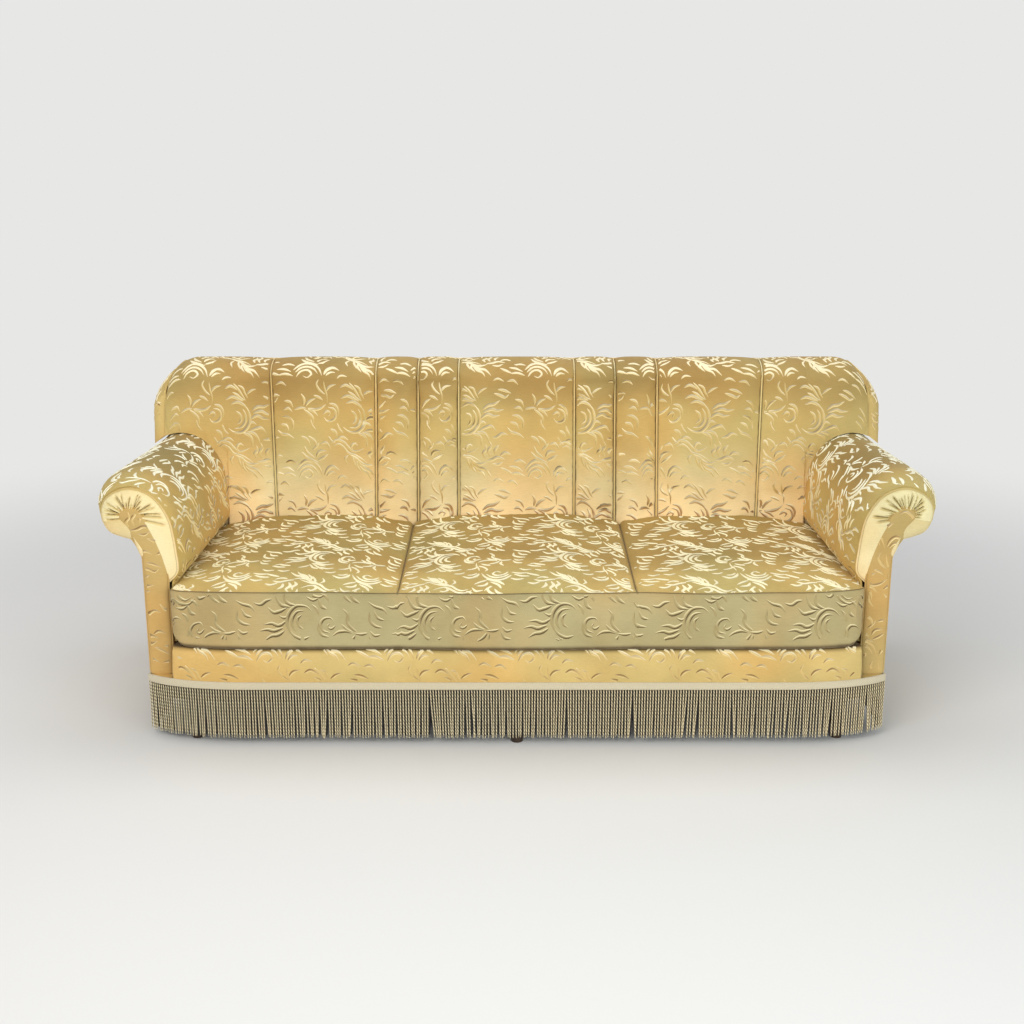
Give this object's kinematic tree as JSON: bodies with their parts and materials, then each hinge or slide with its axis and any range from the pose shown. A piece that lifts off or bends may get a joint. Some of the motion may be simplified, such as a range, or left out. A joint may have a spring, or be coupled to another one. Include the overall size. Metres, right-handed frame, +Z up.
{
  "type": "sofa",
  "caption": "Wide upholstered sofa with one sectioned sprung seat, a vertically channelled back, rolled scroll arms and a cord fringe to the floor, in foliate velvet.",
  "frame": {"origin": "on the floor, at the middle of the footprint", "axes": "+X to the sofa's right as seen from the front, -Y towards the front, +Z up"},
  "size_m": [2.1346, 0.91, 0.885],
  "materials": {
    "arm_band_left": "cut velvet with a foliate relief",
    "arm_band_right": "cut velvet with a foliate relief",
    "arm_cover_left": "cut velvet with a foliate relief",
    "arm_cover_right": "cut velvet with a foliate relief",
    "arm_facing_left": "cut velvet with a foliate relief",
    "arm_facing_right": "cut velvet with a foliate relief",
    "arm_front_board_left": "sawn and planed beech",
    "arm_front_board_right": "sawn and planed beech",
    "arm_lower_rail_left": "sawn and planed beech",
    "arm_lower_rail_right": "sawn and planed beech",
    "arm_padding_left": "curled hair and cotton felt",
    "arm_padding_right": "curled hair and cotton felt",
    "arm_top_rail_left": "sawn and planed beech",
    "arm_top_rail_right": "sawn and planed beech",
    "back_border_left": "cut velvet with a foliate relief",
    "back_border_right": "cut velvet with a foliate relief",
    "back_border_top": "cut velvet with a foliate relief",
    "back_ear_left": "sawn and planed beech",
    "back_ear_right": "sawn and planed beech",
    "back_lower_rail": "sawn and planed beech",
    "back_padding": "curled hair and cotton felt",
    "back_rail": "sawn and planed beech",
    "back_stay_left": "sawn and planed beech",
    "back_stay_right": "sawn and planed beech",
    "back_top_rail": "sawn and planed beech",
    "back_upright_left": "sawn and planed beech",
    "back_upright_right": "sawn and planed beech",
    "back_webbing": "woven jute",
    "base_border": "cut velvet with a foliate relief",
    "cross_rail_left": "sawn and planed beech",
    "cross_rail_right": "sawn and planed beech",
    "dust_cover": "black cambric",
    "foot_front_centre": "satin, stained beech",
    "foot_front_left": "satin, stained beech",
    "foot_front_right": "satin, stained beech",
    "foot_rear_centre": "satin, stained beech",
    "foot_rear_left": "satin, stained beech",
    "foot_rear_right": "satin, stained beech",
    "fringe_front": "bullion cords under a woven header",
    "fringe_left": "bullion cords under a woven header",
    "fringe_rear": "bullion cords under a woven header",
    "fringe_right": "bullion cords under a woven header",
    "front_corner_block_left": "sawn and planed beech",
    "front_corner_block_right": "sawn and planed beech",
    "front_rail": "sawn and planed beech",
    "inside_back_cover": "cut velvet with a foliate relief",
    "outside_arm_left": "cut velvet with a foliate relief",
    "outside_arm_right": "cut velvet with a foliate relief",
    "outside_back": "cut velvet with a foliate relief",
    "rear_post_left": "sawn and planed beech",
    "rear_post_right": "sawn and planed beech",
    "seat_cover": "cut velvet with a foliate relief",
    "seat_hessian": "woven jute",
    "seat_padding": "curled hair and cotton felt",
    "seat_springs_centre": "bright drawn wire",
    "seat_springs_left": "bright drawn wire",
    "seat_springs_right": "bright drawn wire",
    "seat_webbing": "woven jute",
    "side_rail_left": "sawn and planed beech",
    "side_rail_right": "sawn and planed beech"
  },
  "bodies": {
    "root": {"arm_band_left": "arm_band_left", "arm_band_right": "arm_band_right", "arm_cover_left": "arm_cover_left", "arm_cover_right": "arm_cover_right", "arm_facing_left": "arm_facing_left", "arm_facing_right": "arm_facing_right", "arm_front_board_left": "arm_front_board_left", "arm_front_board_right": "arm_front_board_right", "arm_lower_rail_left": "arm_lower_rail_left", "arm_lower_rail_right": "arm_lower_rail_right", "arm_padding_left": "arm_padding_left", "arm_padding_right": "arm_padding_right", "arm_top_rail_left": "arm_top_rail_left", "arm_top_rail_right": "arm_top_rail_right", "back_border_left": "back_border_left", "back_border_right": "back_border_right", "back_border_top": "back_border_top", "back_ear_left": "back_ear_left", "back_ear_right": "back_ear_right", "back_lower_rail": "back_lower_rail", "back_padding": "back_padding", "back_rail": "back_rail", "back_stay_left": "back_stay_left", "back_stay_right": "back_stay_right", "back_top_rail": "back_top_rail", "back_upright_left": "back_upright_left", "back_upright_right": "back_upright_right", "back_webbing": "back_webbing", "base_border": "base_border", "cross_rail_left": "cross_rail_left", "cross_rail_right": "cross_rail_right", "dust_cover": "dust_cover", "foot_front_centre": "foot_front_centre", "foot_front_left": "foot_front_left", "foot_front_right": "foot_front_right", "foot_rear_centre": "foot_rear_centre", "foot_rear_left": "foot_rear_left", "foot_rear_right": "foot_rear_right", "fringe_front": "fringe_front", "fringe_left": "fringe_left", "fringe_rear": "fringe_rear", "fringe_right": "fringe_right", "front_corner_block_left": "front_corner_block_left", "front_corner_block_right": "front_corner_block_right", "front_rail": "front_rail", "inside_back_cover": "inside_back_cover", "outside_arm_left": "outside_arm_left", "outside_arm_right": "outside_arm_right", "outside_back": "outside_back", "rear_post_left": "rear_post_left", "rear_post_right": "rear_post_right", "seat_cover": "seat_cover", "seat_hessian": "seat_hessian", "seat_padding": "seat_padding", "seat_springs_centre": "seat_springs_centre", "seat_springs_left": "seat_springs_left", "seat_springs_right": "seat_springs_right", "seat_webbing": "seat_webbing", "side_rail_left": "side_rail_left", "side_rail_right": "side_rail_right"}
  },
  "joints": []
}
